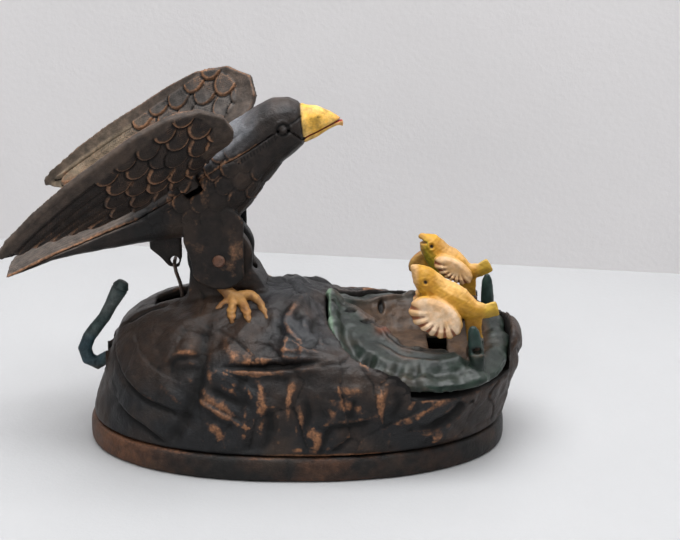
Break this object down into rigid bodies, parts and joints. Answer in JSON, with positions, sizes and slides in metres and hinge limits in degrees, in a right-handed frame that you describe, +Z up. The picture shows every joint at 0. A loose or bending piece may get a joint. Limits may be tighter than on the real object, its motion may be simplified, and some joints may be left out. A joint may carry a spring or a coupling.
{
  "type": "mechanical coin bank",
  "caption": "Cast iron mechanical coin bank: a winged eagle on a rock leans forward to drop a coin into a leafy nest of eaglets when a snake lever is pressed.",
  "frame": {"origin": "centre of the whole bank's footprint box, on the ground", "axes": "+X is the way the eagle faces, along the bank; +Z is up; -Y is the near side"},
  "size_m": [0.2072, 0.102, 0.1482],
  "materials": {
    "base_iron": "black paint over cast iron, worn to rust brown",
    "rock_iron": "dark brown and blue-black paint, copper worn on the high folds",
    "feather_iron": "dark brown paint, copper worn on the feather edges",
    "nest_iron": "dark green leaves around a brown bowl",
    "snake_iron": "worn blue-green paint",
    "eaglet_iron": "yellow paint with pale pink wings",
    "mechanism_steel": "oxidised iron pins and wires",
    "bellows_wood": "plain dry wood",
    "bellows_leather": "thin folded leather",
    "whistle_brass": "dull brass"
  },
  "bodies": {
    "bank": {"base_plate": "base_iron", "rock_casting": "rock_iron", "nest_casting": "nest_iron", "base_screw_1": "mechanism_steel", "base_screw_2": "mechanism_steel", "base_screw_3": "mechanism_steel", "trap_rivet": "mechanism_steel", "latch_rivet": "mechanism_steel", "lever_pin": "mechanism_steel", "eagle_pivot_pin": "mechanism_steel", "wing_link_pin": "mechanism_steel", "bellows_board": "bellows_wood", "bellows_leather": "bellows_leather", "bellows_whistle": "whistle_brass", "lever_spring": "mechanism_steel"},
    "eagle": {"eagle_body": "feather_iron", "eagle_back": "feather_iron", "eagle_screw": "mechanism_steel", "near_wing_pin": "mechanism_steel", "far_wing_pin": "mechanism_steel"},
    "near_wing": {"near_wing": "feather_iron"},
    "far_wing": {"far_wing": "feather_iron"},
    "push_rod": {"wing_push_rod": "mechanism_steel"},
    "lever": {"snake_lever": "snake_iron"},
    "tail_link": {"tail_link": "mechanism_steel"},
    "bellows_link": {"bellows_link": "mechanism_steel"},
    "eaglet_link": {"eaglet_link": "mechanism_steel"},
    "eaglets": {"near_eaglet": "eaglet_iron", "far_eaglet": "eaglet_iron", "eaglet_rod": "mechanism_steel", "eaglet_arm": "mechanism_steel"},
    "bellows_lid": {"bellows_lid": "bellows_wood"},
    "trap_cover": {"trap_cover": "base_iron"},
    "trap_latch": {"trap_latch": "mechanism_steel"}
  },
  "joints": [
    {"name": "eagle_lean", "type": "hinge", "parent": "bank", "child": "eagle", "pos_m": [-0.0174, 0, 0.0795], "axis": [0, 1, 0], "range_deg": [0, 32], "stiffness_Nm_per_rad": 0.15, "springref_deg": -20.05},
    {"name": "lever_press", "type": "hinge", "parent": "bank", "child": "lever", "pos_m": [-0.057, 0, 0.034], "axis": [0, -1, 0], "range_deg": [0, 24], "deforming": ["lever_spring"]},
    {"name": "near_wing_spread", "type": "hinge", "parent": "eagle", "child": "near_wing", "pos_m": [-0.028, -0.0086, 0.111], "axis": [0.866, 0, 0.5], "range_deg": [0, 16]},
    {"name": "far_wing_spread", "type": "hinge", "parent": "eagle", "child": "far_wing", "pos_m": [-0.028, 0.0086, 0.111], "axis": [-0.866, 0, -0.5], "range_deg": [0, 16]},
    {"name": "push_rod_tilt", "type": "hinge", "parent": "bank", "child": "push_rod", "pos_m": [-0.0112, 0, 0.0722], "axis": [0, 1, 0], "range_deg": [0, 23]},
    {"name": "tail_link_rise", "type": "slide", "parent": "bank", "child": "tail_link", "axis": [0, 0, 1], "range_m": [0, 0.0105]},
    {"name": "bellows_link_rise", "type": "slide", "parent": "bank", "child": "bellows_link", "axis": [0, 0, 1], "range_m": [0, 0.0065]},
    {"name": "eaglet_link_pull", "type": "slide", "parent": "bank", "child": "eaglet_link", "axis": [-0.9552, 0, 0.2959], "range_m": [0, 0.0044]},
    {"name": "eaglets_rise", "type": "hinge", "parent": "bank", "child": "eaglets", "pos_m": [0.085, 0, 0.0495], "axis": [0, 1, 0], "range_deg": [0, 12]},
    {"name": "bellows_lid_lift", "type": "hinge", "parent": "bank", "child": "bellows_lid", "pos_m": [0.019, 0, 0.0135], "axis": [0, 1, 0], "range_deg": [0, 6.2], "deforming": ["bellows_leather"]},
    {"name": "trap_cover_turn", "type": "hinge", "parent": "bank", "child": "trap_cover", "pos_m": [0.028, 0, 0.005], "axis": [0, 0, 1], "range_deg": [0, 90]},
    {"name": "trap_latch_turn", "type": "hinge", "parent": "bank", "child": "trap_latch", "pos_m": [0.076, 0, 0.003], "axis": [0, 0, 1], "range_deg": [0, 90]}
  ],
  "couplings": [
    {"joint": "lever_press", "follows": "eagle_lean", "ratio": 0.75},
    {"joint": "near_wing_spread", "follows": "eagle_lean", "ratio": 0.5},
    {"joint": "far_wing_spread", "follows": "eagle_lean", "ratio": 0.5},
    {"joint": "push_rod_tilt", "follows": "eagle_lean", "ratio": 0.71844},
    {"joint": "tail_link_rise", "follows": "eagle_lean", "m_per_rad": 0.018798},
    {"joint": "bellows_link_rise", "follows": "eagle_lean", "m_per_rad": 0.011636},
    {"joint": "eaglet_link_pull", "follows": "eagle_lean", "m_per_rad": 0.007876},
    {"joint": "eaglets_rise", "follows": "eagle_lean", "ratio": 0.37497},
    {"joint": "bellows_lid_lift", "follows": "eagle_lean", "ratio": 0.19372}
  ]
}
